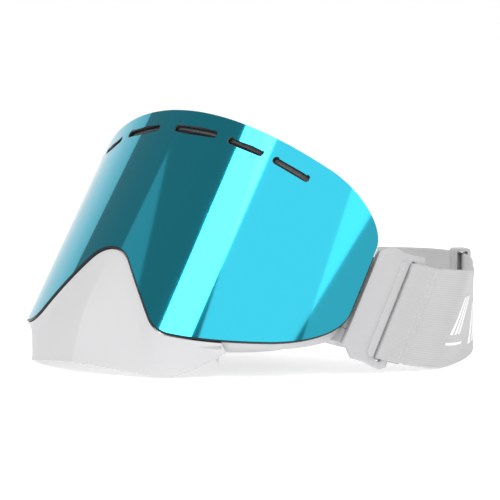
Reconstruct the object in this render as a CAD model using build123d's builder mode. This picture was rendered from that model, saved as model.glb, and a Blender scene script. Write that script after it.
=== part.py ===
from build123d import *
from math import asin, cos, degrees, radians, sin
from numpy import interp
import os

# Ski goggles standing on the nose guard's rim and the strap's lower edge, front towards -Y.
# Everything on the face side is built round the lens axis, the centre line of the lens's cylinder,
# which leans back from the vertical. Distances from that axis are called radii below, and heights
# along it are measured from lens_origin, just under the level of the lens's top edge.

os.makedirs("parts", exist_ok=True)

# ---- where the lens axis stands
lens_lean = 32.25  # degrees that the lens axis leans back from the vertical
origin_y = 26.9  # lens origin behind the middle of the whole goggles
origin_z = 52.3  # lens origin above the floor

# ---- lens outline, seen straight from the front along the lens plane
lens_radius = 96.0
lens_half_width = 86.7
lens_top = 2.9
shoulder_x, shoulder_z = 70.0, -7.2
side_top, side_bottom = -29.5, -58.0
corner_x, corner_z = 72.0, -85.0
lobe_x, lobe_z = 43.0, -95.4
flank_x, flank_z = 32.3, -91.4
nose_x, nose_z = 11.9, -69.1
nose_peak = -63.9

# ---- layers, from the front to the face
outer_lens_wall = 1.8
lens_gap = 2.5  # air between the two lenses
inner_lens_wall = 1.0
carrier_wall = 1.5
carrier_inset = 4.6
carrier_rim = 1.4
carrier_flange = 6.0
spacer_width = 2.8
frame_depth = 8.6
frame_flange = 2.4
frame_inset = 0.5
layer_step = 0.5  # each layer behind the lens steps in by this
frame_wall = 3.4
frame_lip = 2.2
frame_opening = 10.5
foam_opening = 13.5
base_foam = 3.0
core_foam = 6.0
fleece = 1.2
glue_line = 0.05
fit_gap = 0.1

# ---- vents
lens_slot_height = 2.3
lens_slot_drop = 9.4
slot_follow = 0.85  # how far each slot turns with the top edge
lens_slots = [(5.1, 27.0), (33.5, 49.8), (55.0, 71.5)]  # start and end of each slot, along the arc
wall_vent_length = 11.0
wall_vent_height = 3.0
top_vent_turns = range(-48, 49, 12)  # degrees round the lens axis
low_vent_turns = (-46, -36, 36, 46)
top_vent_reach, low_vent_reach = 30.0, 24.0  # how far each vent cut runs along the lens axis
vent_foam_wall = 1.4
top_foam_reach = 54.0
low_foam_start, low_foam_end = 44.0, 70.0

# ---- magnets
magnet_radius = 2.0
magnet_wall = 1.0
magnet_places = [(26.0, -5.4), (62.0, -11.2), (101.0, -45.0), (66.0, -83.4)]  # arc, height

# ---- nose guard
collar_gap = 0.3
collar_wall = 1.9
collar_back = 84.0
collar_reach = 56.0
collar_top = -59.0
guard_wall = 2.0
guard_depth = 9.0
guard_clear_front = 99.0
# height, ridge radius, half width, distance of the side edges from the axis plane
guard_stations = [
    (-64.2, 91.0, 4.0, 90.2),
    (-73.5, 96.4, 15.6, 93.6),
    (-85.2, 97.6, 26.2, 91.8),
    (-96.6, 96.8, 38.5, 86.6),
    (-107.0, 94.8, 41.6, 80.4),
    (-116.0, 92.0, 42.6, 75.0),
    (-128.0, 88.0, 43.0, 68.5),
]

# ---- outrigger and its hinge
outrigger_splay = 15.0
hinge_x, hinge_y = 81.28, -36.5
pin_radius = 1.25
pin_clearance = 0.05
barrel_radius = 2.8
barrel_top, barrel_bottom = -36.3, -63.7
lug_length = 6.2
lug_gap = 0.3
lug_root_radius, lug_root_angle = 84.0, 62.2
lug_root_step = 0.2  # the lug is this much slimmer where it joins the frame
pocket_clearance = 0.5
plate_face = 5.4  # outer face of the plate, outwards from the hinge axis
plate_wall = 2.0
slot_start, slot_width = 14.3, 3.7
slot_top, slot_bottom = -24.6, -69.4
rib_width = 3.0
rib_height = 1.0
rib_place = 11.8
panel_top, panel_bottom = -27.0, -69.5
web_front, web_back = -1.0, 2.8
# backwards from the hinge axis, height along the lens axis
plate_outline = [
    (-1.0, -29.0),
    (1.9, -25.9),
    (4.5, -23.7),
    (10.0, -23.5),
    (14.6, -22.2),
    (20.0, -20.2),
    (21.5, -26.0),
    (21.5, -69.8),
    (19.5, -71.6),
    (12.0, -72.2),
    (5.6, -73.8),
    (2.0, -71.4),
    (-1.0, -71.0),
]

# ---- strap
strap_wall = 1.5
strap_edge_gap = 0.3
loop_start = 16.2
loop_end = 27.0
loop_rise = 4.1
loop_gap = 1.2
# middle of the strap: sideways, backwards from the lens origin, lower edge, upper edge, slant in Y
strap_stations = [
    (98.0, -18.0, 0.3, 39.8, 20.0),
    (91.5, -2.0, -0.15, 39.0, 12.0),
    (81.5, 15.0, -0.2, 38.6, 5.0),
    (69.5, 32.0, 0.2, 38.9, 0.0),
    (53.0, 52.0, 1.9, 40.3, 0.0),
    (34.0, 70.0, 2.5, 40.8, 0.0),
    (15.0, 82.0, 2.5, 40.8, 0.0),
    (0.0, 86.0, 2.5, 40.8, 0.0),
]
layer_gap = 0.3
slider_length = 10.0
slider_wall = 1.5
slider_clearance = 0.7
slider_station = 6  # counting the loop's end as station 0
span_sections = 3  # sections from each station to the next

# ---- derived places
lens_base = Plane(
    origin=(0, origin_y, origin_z),
    x_dir=(1, 0, 0),
    z_dir=(0, sin(radians(lens_lean)), cos(radians(lens_lean))),
)
front_view = Plane(origin=lens_base.origin, x_dir=(1, 0, 0), z_dir=-lens_base.y_dir)
lens_back = lens_radius - outer_lens_wall
inner_lens_front = lens_back - lens_gap
inner_lens_back = inner_lens_front - inner_lens_wall
carrier_back = inner_lens_back - carrier_wall
frame_front = carrier_back - fit_gap
frame_back = frame_front - frame_depth
core_front = frame_back - base_foam - glue_line
fleece_front = core_front - core_foam - glue_line
past_everything = 200.0
collar_front = lens_back - fit_gap
seat_view = (lens_back + carrier_back) / 2  # the radius where the lens seat's walls are true


def lens_outline(inset, radius):
    """Lens outline from the front, set in by inset, for this radius."""
    narrow = radius / lens_radius
    with BuildSketch(front_view) as shape:
        with BuildLine():
            top = TangentArc((0, lens_top), (shoulder_x * narrow, shoulder_z), tangent=(1, 0))
            shoulder = TangentArc(top @ 1, (lens_half_width * narrow, side_top), tangent=top % 1)
            side = Line(shoulder @ 1, (lens_half_width * narrow, side_bottom))
            corner = TangentArc(side @ 1, (corner_x * narrow, corner_z), tangent=side % 1)
            bottom = TangentArc(corner @ 1, (lobe_x * narrow, lobe_z), tangent=corner % 1)
            lobe = TangentArc(bottom @ 1, (flank_x * narrow, flank_z), tangent=bottom % 1)
            flank = Line(lobe @ 1, (nose_x * narrow, nose_z))
            TangentArc(flank @ 1, (0, nose_peak), tangent=flank % 1)
            mirror(about=Plane.YZ)
        make_face()
        if inset != 0:
            offset(amount=-inset, mode=Mode.REPLACE)
    return shape.sketch


def laid_on(shape, radius):
    """The part of the cylinder of this radius that a front-view shape covers."""
    tube = lens_base * Cylinder(radius, past_everything * 2, mode=Mode.PRIVATE)
    wall = tube.faces().filter_by(GeomType.CYLINDER)[0]
    prism = extrude(shape, amount=past_everything, mode=Mode.PRIVATE)
    return wall.intersect(prism)[0]


def block(inset, front, back, view_radius):
    """All that lies behind the lens outline, set in by inset, between two radii.

    The walls run straight back, and are true to the lens's edge at view_radius."""
    half_angle = degrees(asin(lens_half_width / lens_radius)) - degrees(inset / front)
    with BuildPart() as piece:
        extrude(lens_outline(inset, view_radius), amount=past_everything)
        with BuildSketch(lens_base.offset(-past_everything)):
            with BuildLine():
                outside = CenterArc((0, 0), front, -90 - half_angle, 2 * half_angle)
                within = CenterArc((0, 0), back, -90 - half_angle, 2 * half_angle)
                Line(outside @ 0, within @ 0)
                Line(outside @ 1, within @ 1)
            make_face()
        extrude(amount=2 * past_everything, mode=Mode.INTERSECT)
    return piece.part


def touching(arc, height, radius):
    """Plane that touches the cylinder of this radius, arc measured round the outer lens."""
    turn = arc / lens_radius
    outward = lens_base.x_dir * sin(turn) - lens_base.y_dir * cos(turn)
    middle = lens_base.origin + outward * radius + lens_base.z_dir * height
    return Plane(origin=middle, x_dir=lens_base.z_dir.cross(outward), z_dir=outward)


def side_place(out, back, height):
    """Point by its distances outwards from the hinge axis, backwards along the plate and up."""
    splay = radians(outrigger_splay)
    local_x = hinge_x + out * cos(splay) + back * sin(splay)
    local_y = hinge_y - out * sin(splay) + back * cos(splay)
    return lens_base.from_local_coords(Vector(local_x, local_y, height))


def side_plane(out):
    """Plane along the right outrigger, x backwards and y up the lens axis."""
    splay = radians(outrigger_splay)
    outward = lens_base.x_dir * cos(splay) - lens_base.y_dir * sin(splay)
    backward = lens_base.x_dir * sin(splay) + lens_base.y_dir * cos(splay)
    return Plane(origin=side_place(out, 0, 0), x_dir=backward, z_dir=outward)


# ---- lens, which lifts off forwards as one piece
with BuildPart() as outer_lens:
    thicken(laid_on(lens_outline(0, lens_radius), lens_radius), amount=-outer_lens_wall)
    for start, end in lens_slots:
        middle = (start + end) / 2
        top_radius = (shoulder_x**2 + (lens_top - shoulder_z) ** 2) / (2 * (lens_top - shoulder_z))
        slope = lens_radius * sin(middle / lens_radius) / top_radius
        slot_z = lens_top - lens_slot_drop - top_radius * (1 - cos(slope))
        for side in (1, -1):
            with BuildSketch(touching(side * middle, slot_z, lens_radius)):
                SlotOverall(end - start, lens_slot_height, rotation=-side * degrees(slope) * slot_follow)
            extrude(amount=outer_lens_wall * 3, both=True, mode=Mode.SUBTRACT)
outer_lens.part.label = "outer_lens"
export_step(outer_lens.part, "parts/outer_lens.step")

lens_clear = carrier_inset + carrier_rim + fit_gap
with BuildPart() as inner_lens:
    add(block(lens_clear, inner_lens_front, inner_lens_back, seat_view))
inner_lens.part.label = "inner_lens"
export_step(inner_lens.part, "parts/inner_lens.step")

with BuildPart() as lens_spacer:
    add(block(lens_clear, lens_back, inner_lens_front, seat_view))
    air = block(lens_clear + spacer_width, lens_back + 1, inner_lens_front - 1, seat_view)
    add(air, mode=Mode.SUBTRACT)
lens_spacer.part.label = "lens_spacer"
export_step(lens_spacer.part, "parts/lens_spacer.step")

with BuildPart() as lens_carrier:
    add(block(carrier_inset, lens_back, carrier_back, seat_view))
    add(block(carrier_inset + carrier_rim, lens_back + 1, inner_lens_back, seat_view), mode=Mode.SUBTRACT)
    opening = block(carrier_inset + carrier_flange, lens_back, carrier_back - 1, seat_view)
    add(opening, mode=Mode.SUBTRACT)
    for arc, height in magnet_places:
        for side in (1, -1):
            with BuildSketch(touching(side * arc, height, carrier_back)):
                Circle(magnet_radius)
            extrude(amount=magnet_wall, mode=Mode.SUBTRACT)
lens_carrier.part.label = "lens_carrier"
export_step(lens_carrier.part, "parts/lens_carrier.step")

with BuildPart() as lens_magnets:
    for arc, height in magnet_places:
        for side in (1, -1):
            with BuildSketch(touching(side * arc, height, carrier_back)):
                Circle(magnet_radius - pin_clearance)
            extrude(amount=magnet_wall - pin_clearance)
lens_magnets.part.label = "lens_magnets"
export_step(lens_magnets.part, "parts/lens_magnets.step")

# ---- frame, with the lugs that carry the outriggers
lug_root = (
    lug_root_radius * sin(radians(lug_root_angle)) - hinge_x,
    -lug_root_radius * cos(radians(lug_root_angle)) - hinge_y,
)
frame_middle = (frame_front + frame_back) / 2
wall_front = frame_front - frame_flange
wall_back = frame_back + frame_flange
wall_opening = frame_inset + frame_wall
with BuildPart() as frame:
    add(block(frame_inset, lens_back - fit_gap, frame_front, seat_view))
    add(block(frame_inset + layer_step, frame_front, frame_middle, (frame_front + frame_middle) / 2))
    add(block(frame_inset + 2 * layer_step, frame_middle, frame_back, (frame_middle + frame_back) / 2))
    add(block(frame_inset + frame_lip, lens_back, frame_front, seat_view), mode=Mode.SUBTRACT)
    add(block(frame_opening, lens_back, frame_back - 1, frame_middle), mode=Mode.SUBTRACT)
    add(block(wall_opening, wall_front, wall_back, frame_middle), mode=Mode.SUBTRACT)
    for turn in top_vent_turns:
        with BuildSketch(lens_base.offset(lens_top + 2)):
            with Locations(Location((0, 0, 0), (0, 0, turn))):
                with Locations((0, -frame_middle)):
                    SlotOverall(wall_vent_length, wall_vent_height)
        extrude(amount=-top_vent_reach, mode=Mode.SUBTRACT)
    for turn in low_vent_turns:
        with BuildSketch(lens_base.offset(lobe_z - 2)):
            with Locations(Location((0, 0, 0), (0, 0, turn))):
                with Locations((0, -frame_middle)):
                    SlotOverall(wall_vent_length, wall_vent_height)
        extrude(amount=low_vent_reach, mode=Mode.SUBTRACT)
    for side in (1, -1):
        for lug_start, lug_tall in (
            (barrel_top + lug_gap, lug_length),
            (barrel_bottom - lug_gap - lug_length, lug_length),
        ):
            with BuildSketch(lens_base.offset(lug_start)):
                with Locations((side * hinge_x, hinge_y)):
                    Circle(barrel_radius)
                with Locations((side * (hinge_x + lug_root[0]), hinge_y + lug_root[1])):
                    Circle(barrel_radius - lug_root_step)
                make_hull()
            extrude(amount=lug_tall)
        with BuildSketch(lens_base.offset(barrel_bottom - lug_gap)):
            with Locations((side * hinge_x, hinge_y)):
                Circle(barrel_radius + pocket_clearance)
        extrude(amount=barrel_top - barrel_bottom + 2 * lug_gap, mode=Mode.SUBTRACT)
        with BuildSketch(lens_base.offset(barrel_bottom - lug_gap - lug_length - 1)):
            with Locations((side * hinge_x, hinge_y)):
                Circle(pin_radius)
        extrude(amount=barrel_top - barrel_bottom + 2 * (lug_gap + lug_length + 1), mode=Mode.SUBTRACT)
    for arc, height in magnet_places:
        for side in (1, -1):
            with BuildSketch(touching(side * arc, height, frame_front - magnet_wall)):
                Circle(magnet_radius)
            extrude(amount=magnet_wall * 2, mode=Mode.SUBTRACT)
frame.part.label = "frame"
export_step(frame.part, "parts/frame.step")

with BuildPart() as frame_magnets:
    for arc, height in magnet_places:
        for side in (1, -1):
            with BuildSketch(touching(side * arc, height, frame_front - magnet_wall + pin_clearance)):
                Circle(magnet_radius - pin_clearance)
            extrude(amount=magnet_wall - 2 * pin_clearance)
frame_magnets.part.label = "frame_magnets"
export_step(frame_magnets.part, "parts/frame_magnets.step")

for side, hand in ((1, "right"), (-1, "left")):
    with BuildPart() as hinge_pin:
        with BuildSketch(lens_base.offset(barrel_bottom - lug_gap - lug_length)):
            with Locations((side * hinge_x, hinge_y)):
                Circle(pin_radius)
        extrude(amount=barrel_top - barrel_bottom + 2 * (lug_gap + lug_length))
    hinge_pin.part.label = f"hinge_pin_{hand}"
    export_step(hinge_pin.part, f"parts/hinge_pin_{hand}.step")

# ---- mesh foam behind the vents in the frame's wall
vent_inset = wall_opening + glue_line
with BuildPart() as vent_foam:
    add(block(vent_inset, wall_front - glue_line, wall_back + glue_line, frame_middle))
    add(block(vent_inset + vent_foam_wall, wall_front, wall_back, frame_middle), mode=Mode.SUBTRACT)
for name, middle, low, high in (
    ("vent_foam_top", 0, side_top, lens_top),
    ("vent_foam_low_right", (low_foam_start + low_foam_end) / 2, lobe_z, side_bottom),
    ("vent_foam_low_left", -(low_foam_start + low_foam_end) / 2, lobe_z, side_bottom),
):
    reach = top_foam_reach if middle == 0 else (low_foam_end - low_foam_start) / 2
    with BuildPart() as strip:
        with BuildSketch(front_view):
            with Locations((middle, (low + high) / 2)):
                Rectangle(2 * reach, high - low)
        extrude(amount=past_everything)
        add(vent_foam.part, mode=Mode.INTERSECT)
    strip.part.label = name
    export_step(strip.part, f"parts/{name}.step")

# ---- face foam, in three glued layers
for name, front, back, steps in (
    ("foam_base", frame_back - glue_line, core_front + glue_line, 3),
    ("foam_core", core_front, fleece_front + glue_line, 5),
    ("foam_fleece", fleece_front, fleece_front - fleece, 6),
):
    with BuildPart() as layer:
        middle = (front + back) / 2
        add(block(frame_inset + steps * layer_step, front, back, middle))
        add(block(foam_opening, front + 1, back - 1, middle), mode=Mode.SUBTRACT)
    layer.part.label = name
    export_step(layer.part, f"parts/{name}.step")

# ---- nose guard: a collar round the frame's nose notch, and a shell over the nose
with BuildPart() as collar:
    add(block(-collar_gap - collar_wall, collar_front, collar_back, seat_view))
    with BuildSketch(front_view):
        with Locations((0, collar_top + lobe_z)):
            Rectangle(2 * collar_reach, -2 * lobe_z)
    extrude(amount=past_everything, mode=Mode.INTERSECT)

with BuildPart() as nose_guard:
    for height, ridge, half_width, edge in guard_stations:
        with BuildSketch(lens_base.offset(height)):
            with BuildLine():
                Polyline(
                    (-half_width, -edge),
                    (0, -ridge),
                    (half_width, -edge),
                    (half_width, guard_depth - edge),
                    (-half_width, guard_depth - edge),
                    close=True,
                )
            make_face()
    loft(ruled=True)
    for height, ridge, half_width, edge in guard_stations:
        with BuildSketch(lens_base.offset(height)):
            with BuildLine():
                inner = half_width - guard_wall
                Polyline(
                    (-inner, guard_wall - edge),
                    (0, guard_wall - ridge),
                    (inner, guard_wall - edge),
                    (inner, 2 * guard_depth - edge),
                    (-inner, 2 * guard_depth - edge),
                    close=True,
                )
            make_face()
    loft(ruled=True, mode=Mode.SUBTRACT)
    add(collar.part)
    for view in (seat_view, (frame_front + frame_middle) / 2, (frame_middle + frame_back) / 2):
        add(block(-collar_gap, guard_clear_front, fleece_front, view), mode=Mode.SUBTRACT)
    split(bisect_by=Plane.XY, keep=Keep.TOP)
nose_guard.part.label = "nose_guard"
export_step(nose_guard.part, "parts/nose_guard.step")

# ---- outriggers, each on its pin
with BuildPart() as outrigger_right:
    with BuildSketch(side_plane(plate_face)):
        with BuildLine():
            Polyline(*plate_outline, close=True)
        make_face()
        with Locations((slot_start + slot_width / 2, (slot_top + slot_bottom) / 2)):
            RectangleRounded(slot_width, slot_top - slot_bottom, slot_width / 3, mode=Mode.SUBTRACT)
    extrude(amount=-plate_wall)
    with BuildSketch(side_plane(plate_face - plate_wall)):
        with Locations(((web_front + web_back) / 2, (barrel_top + barrel_bottom) / 2)):
            Rectangle(web_back - web_front, barrel_top - barrel_bottom)
    extrude(amount=-(plate_face - plate_wall))
    with BuildSketch(lens_base.offset(barrel_bottom)):
        with Locations((hinge_x, hinge_y)):
            Circle(barrel_radius)
    extrude(amount=barrel_top - barrel_bottom)
    with BuildSketch(lens_base.offset(barrel_bottom)):
        with Locations((hinge_x, hinge_y)):
            Circle(pin_radius + pin_clearance)
    extrude(amount=barrel_top - barrel_bottom, mode=Mode.SUBTRACT)
    with BuildSketch(side_plane(plate_face)):
        with Locations((rib_place, (panel_top + panel_bottom) / 2)):
            SlotOverall(panel_top - panel_bottom, rib_width, rotation=90)
    extrude(amount=rib_height)

with BuildPart() as strap_loop_right:
    for out in (plate_face + fit_gap, plate_face - plate_wall - fit_gap - strap_wall):
        with BuildSketch(side_plane(out)):
            with BuildLine():
                Polyline(
                    (loop_start, slot_bottom + strap_edge_gap),
                    (loop_end, slot_bottom + strap_edge_gap + loop_rise),
                    (loop_end, slot_top - strap_edge_gap + loop_rise),
                    (loop_start, slot_top - strap_edge_gap),
                    close=True,
                )
            make_face()
        extrude(amount=strap_wall)
    with BuildSketch(side_plane(plate_face - plate_wall - fit_gap)):
        with Locations((loop_start + strap_wall / 2, (slot_top + slot_bottom) / 2)):
            Rectangle(strap_wall, slot_top - slot_bottom - 2 * strap_edge_gap)
    extrude(amount=plate_wall + 2 * fit_gap)

# ---- strap halves, laid one over the other between the sliders at the back
loop_face = plate_face + fit_gap + strap_wall / 2
first_top = side_place(loop_face, loop_end + loop_gap, slot_top + loop_rise)
first_low = side_place(loop_face, loop_end + loop_gap, slot_bottom + loop_rise)
top_points = [first_top]
low_points = [first_low]
for x, y, low, high, slant in strap_stations:
    top_points.append(Vector(x, origin_y + y + slant / 2, high))
    low_points.append(Vector(x, origin_y + y - slant / 2, low))
top_edge = Spline(*top_points, *[Vector(-spot.X, spot.Y, spot.Z) for spot in top_points[-2::-1]])
low_edge = Spline(*low_points, *[Vector(-spot.X, spot.Y, spot.Z) for spot in low_points[-2::-1]])
top_shares = [top_edge.param_at_point(spot) for spot in top_points]
low_shares = [low_edge.param_at_point(spot) for spot in low_points]
top_shares += [1 - share for share in top_shares[-2::-1]]
low_shares += [1 - share for share in low_shares[-2::-1]]
strap_end = len(low_shares) - 1  # the left loop, counting the right one as station 0


def strap_section(station, inward):
    """Plane and width of the strap at a station, or between two, moved towards the head by inward."""
    low_share = interp(station, range(len(low_shares)), low_shares)
    top = top_edge @ interp(station, range(len(top_shares)), top_shares)
    up = top - (low_edge @ low_share)
    across = (low_edge % low_share).cross(up).normalized()
    middle = top - up / 2
    toward_head = across if across.dot(Vector(middle.X, middle.Y - origin_y, 0)) < 0 else -across
    return Plane(origin=middle + toward_head * inward, x_dir=up, z_dir=up.cross(across)), up.length


for hand, inward in (("right", 0), ("left", layer_gap + strap_wall)):
    with BuildPart() as strap:
        for index in range((strap_end - slider_station) * span_sections + 1):
            station = index / span_sections
            shift = inward * min(1, max(0, station - slider_station + 1.5))
            plane, width = strap_section(station if hand == "right" else strap_end - station, shift)
            with BuildSketch(plane):
                Rectangle(width - 2 * strap_edge_gap, strap_wall)
        loft()
    strap.part.label = f"strap_{hand}"
    export_step(strap.part, f"parts/strap_{hand}.step")

with BuildPart() as strap_slider_right:
    plane, width = strap_section(slider_station, (layer_gap + strap_wall) / 2)
    passage = 2 * strap_wall + layer_gap + 2 * slider_clearance
    with BuildSketch(plane):
        tall = width + 2 * (slider_clearance - strap_edge_gap)
        RectangleRounded(tall + 2 * slider_wall, passage + 2 * slider_wall, slider_wall)
        Rectangle(tall, passage, mode=Mode.SUBTRACT)
    extrude(amount=slider_length / 2, both=True)

for right, name in (
    (outrigger_right, "outrigger"),
    (strap_loop_right, "strap_loop"),
    (strap_slider_right, "strap_slider"),
):
    right.part.label = f"{name}_right"
    export_step(right.part, f"parts/{name}_right.step")
    with BuildPart() as left:
        mirror(right.part, about=Plane.YZ)
    left.part.label = f"{name}_left"
    export_step(left.part, f"parts/{name}_left.step")
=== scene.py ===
from math import asin, atan2, cos, pi, radians, sin

import bmesh
import bpy
import numpy as np
from mathutils import Matrix, Vector
from mathutils.geometry import delaunay_2d_cdt


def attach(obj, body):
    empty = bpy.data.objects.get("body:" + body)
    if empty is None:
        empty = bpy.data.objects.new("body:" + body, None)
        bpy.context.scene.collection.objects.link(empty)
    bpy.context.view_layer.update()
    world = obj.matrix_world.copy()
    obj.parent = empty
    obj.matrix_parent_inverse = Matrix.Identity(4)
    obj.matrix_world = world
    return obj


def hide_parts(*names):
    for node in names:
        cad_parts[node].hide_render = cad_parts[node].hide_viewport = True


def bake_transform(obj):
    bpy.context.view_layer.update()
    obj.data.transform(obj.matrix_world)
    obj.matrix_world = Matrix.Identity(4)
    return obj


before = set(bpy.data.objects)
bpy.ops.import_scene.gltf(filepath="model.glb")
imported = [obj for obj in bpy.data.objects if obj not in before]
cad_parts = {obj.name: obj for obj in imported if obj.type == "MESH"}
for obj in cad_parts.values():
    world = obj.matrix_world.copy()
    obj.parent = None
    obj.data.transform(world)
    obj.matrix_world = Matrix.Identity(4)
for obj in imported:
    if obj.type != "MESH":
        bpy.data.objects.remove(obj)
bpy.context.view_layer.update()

scene = bpy.context.scene
mm = 0.001

# the lens axis leans back, and everything on the face side is built round it
lensAxis = {"lean": radians(32.25), "originY": 26.9 * mm, "originZ": 52.3 * mm, "radius": 96.0 * mm}

# lens outline from straight in front, half of it, as sideways and height in mm
lensShape = {
    "top": (0, 2.9),
    "shoulder": (70.0, -7.2),
    "sideTop": (86.7, -29.5),
    "sideBottom": (86.7, -58.0),
    "corner": (72.0, -85.0),
    "lobe": (43.0, -95.4),
    "flank": (32.3, -91.4),
    "nose": (11.9, -69.1),
    "nosePeak": (0, -63.9),
    "outlinePoints": 480,
}


def fromLens(x, back, up):
    # sideways, backwards across the axis and up along it, to the row frame
    lean = lensAxis["lean"]
    return Vector((
        x,
        lensAxis["originY"] + back * cos(lean) + up * sin(lean),
        lensAxis["originZ"] - back * sin(lean) + up * cos(lean),
    ))


def toLens(point):
    lean = lensAxis["lean"]
    y, z = point[1] - lensAxis["originY"], point[2] - lensAxis["originZ"]
    return point[0], y * cos(lean) - z * sin(lean), y * sin(lean) + z * cos(lean)


def onLens(angle, up, radius):
    return fromLens(sin(angle) * radius, -cos(angle) * radius, up)


def linear(red, green, blue):
    # eight-bit screen colour to the shader's
    return tuple(((c / 255 + 0.055) / 1.055) ** 2.4 if c > 10 else c / 255 / 12.92 for c in (red, green, blue)) + (1,)


# ---- materials
def newMaterial(name):
    material = bpy.data.materials.new(name)
    material.use_nodes = True
    nodes = material.node_tree.nodes
    nodes.clear()
    shader = nodes.new("ShaderNodeBsdfPrincipled")
    output = nodes.new("ShaderNodeOutputMaterial")
    material.node_tree.links.new(shader.outputs[0], output.inputs["Surface"])
    return material, shader


def addNode(material, kind, inputs=None, **settings):
    node = material.node_tree.nodes.new(kind)
    for key, value in settings.items():
        setattr(node, key, value)
    for key, value in (inputs or {}).items():
        if isinstance(value, bpy.types.NodeSocket):
            material.node_tree.links.new(value, node.inputs[key])
        else:
            node.inputs[key].default_value = value
    return node


def join(material, output, inputSocket):
    material.node_tree.links.new(output, inputSocket)


def mathNode(material, operation, first, second=0.0):
    return addNode(material, "ShaderNodeMath", {0: first, 1: second}, operation=operation).outputs[0]


def smoothStep(material, value, low, high):
    node = addNode(
        material, "ShaderNodeMapRange", {"Value": value, "From Min": low, "From Max": high},
        interpolation_type="SMOOTHSTEP",
    )
    return node.outputs["Result"]


def mixColour(material, factor, first, second):
    node = addNode(material, "ShaderNodeMix", data_type="RGBA")
    for index, value in ((0, factor), (6, first), (7, second)):
        if isinstance(value, bpy.types.NodeSocket):
            join(material, value, node.inputs[index])
        else:
            node.inputs[index].default_value = value
    return node.outputs[2]


def objectPlace(material):
    return addNode(material, "ShaderNodeTexCoord").outputs["Object"]


def mouldedMaterial(name, colour, roughness, grainSize, grainDepth, shade=0.93, metal=0.0):
    # moulded plastic, rubber or metal: faint mottling in colour and gloss, and a fine moulded grain
    material, shader = newMaterial(name)
    place = objectPlace(material)
    cloud = addNode(material, "ShaderNodeTexNoise", {"Vector": place, "Scale": 45.0, "Detail": 3.0})
    darker = tuple(c * shade for c in colour[:3]) + (1,)
    tint = mixColour(material, cloud.outputs["Fac"], darker, colour)
    join(material, tint, shader.inputs["Base Color"])
    gloss = addNode(
        material, "ShaderNodeMapRange",
        {"Value": cloud.outputs["Fac"], "To Min": roughness * 0.88, "To Max": min(1, roughness * 1.12)},
    )
    join(material, gloss.outputs["Result"], shader.inputs["Roughness"])
    grain = addNode(material, "ShaderNodeTexNoise", {"Vector": place, "Scale": 1 / grainSize, "Detail": 2.0})
    bump = addNode(
        material, "ShaderNodeBump",
        {"Height": grain.outputs["Fac"], "Strength": 0.35, "Distance": grainDepth},
    )
    join(material, bump.outputs["Normal"], shader.inputs["Normal"])
    shader.inputs["Metallic"].default_value = metal
    return material


def foamMaterial(name, colour, poreSize, poreDepth):
    material, shader = newMaterial(name)
    place = objectPlace(material)
    pores = addNode(material, "ShaderNodeTexVoronoi", {"Vector": place, "Scale": 1 / poreSize})
    rim = smoothStep(material, pores.outputs["Distance"], 0.1, 0.55)
    # painted shade: the pore hollows, which the bump sinks, are darkened
    darker = tuple(c * 0.55 for c in colour[:3]) + (1,)
    join(material, mixColour(material, rim, darker, colour), shader.inputs["Base Color"])
    bump = addNode(material, "ShaderNodeBump", {"Height": rim, "Strength": 0.8, "Distance": poreDepth})
    join(material, bump.outputs["Normal"], shader.inputs["Normal"])
    shader.inputs["Roughness"].default_value = 0.95
    return material


def fleeceMaterial(name, colour):
    material, shader = newMaterial(name)
    place = objectPlace(material)
    nap = addNode(material, "ShaderNodeTexNoise", {"Vector": place, "Scale": 900.0, "Detail": 4.0})
    tufts = addNode(material, "ShaderNodeTexNoise", {"Vector": place, "Scale": 140.0, "Detail": 2.0})
    lifted = mathNode(material, "MULTIPLY", nap.outputs["Fac"], tufts.outputs["Fac"])
    # painted shade: the low fibres between tufts, which the bump sinks, are darkened
    darker = tuple(c * 0.6 for c in colour[:3]) + (1,)
    tint = mixColour(material, smoothStep(material, lifted, 0.12, 0.42), darker, colour)
    join(material, tint, shader.inputs["Base Color"])
    bump = addNode(material, "ShaderNodeBump", {"Height": lifted, "Strength": 1.0, "Distance": 0.5 * mm})
    join(material, bump.outputs["Normal"], shader.inputs["Normal"])
    shader.inputs["Roughness"].default_value = 1.0
    shader.inputs["Sheen Weight"].default_value = 0.6
    return material


webbing = {"colour": linear(193, 193, 194), "ribPitch": 0.85 * mm, "threadPitch": 0.55 * mm}


def webbingMaterial(name):
    # elastic webbing on the piece's own UVs, u metres along it and v metres across it
    material, shader = newMaterial(name)
    uv = addNode(material, "ShaderNodeTexCoord").outputs["UV"]
    parts = addNode(material, "ShaderNodeSeparateXYZ", {0: uv})
    along = mathNode(material, "MULTIPLY", parts.outputs[0], 2 * pi / webbing["threadPitch"])
    across = mathNode(material, "MULTIPLY", parts.outputs[1], 2 * pi / webbing["ribPitch"])
    rib = mathNode(material, "ABSOLUTE", mathNode(material, "SINE", mathNode(material, "MULTIPLY", across, 0.5)))
    row = mathNode(material, "FLOOR", mathNode(material, "DIVIDE", parts.outputs[1], webbing["ribPitch"]))
    shifted = mathNode(material, "ADD", along, mathNode(material, "MULTIPLY", row, pi))
    thread = mathNode(material, "MULTIPLY_ADD", mathNode(material, "SINE", shifted), 0.5)
    weave = mathNode(
        material, "ADD", mathNode(material, "MULTIPLY", rib, 0.75), mathNode(material, "MULTIPLY", thread, 0.25)
    )
    fuzz = addNode(material, "ShaderNodeTexNoise", {"Vector": objectPlace(material), "Scale": 60.0, "Detail": 4.0})
    # painted shade: the grooves between ribs and threads, which the bump sinks, are darkened
    darker = tuple(c * 0.80 for c in webbing["colour"][:3]) + (1,)
    tint = mixColour(material, smoothStep(material, weave, 0.0, 0.6), darker, webbing["colour"])
    worn = mixColour(material, mathNode(material, "MULTIPLY", fuzz.outputs["Fac"], 0.12), tint, (0.8, 0.8, 0.8, 1))
    join(material, worn, shader.inputs["Base Color"])
    bump = addNode(material, "ShaderNodeBump", {"Height": weave, "Strength": 0.55, "Distance": 0.12 * mm})
    join(material, bump.outputs["Normal"], shader.inputs["Normal"])
    shader.inputs["Roughness"].default_value = 0.85
    shader.inputs["Sheen Weight"].default_value = 0.25
    return material


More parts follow.
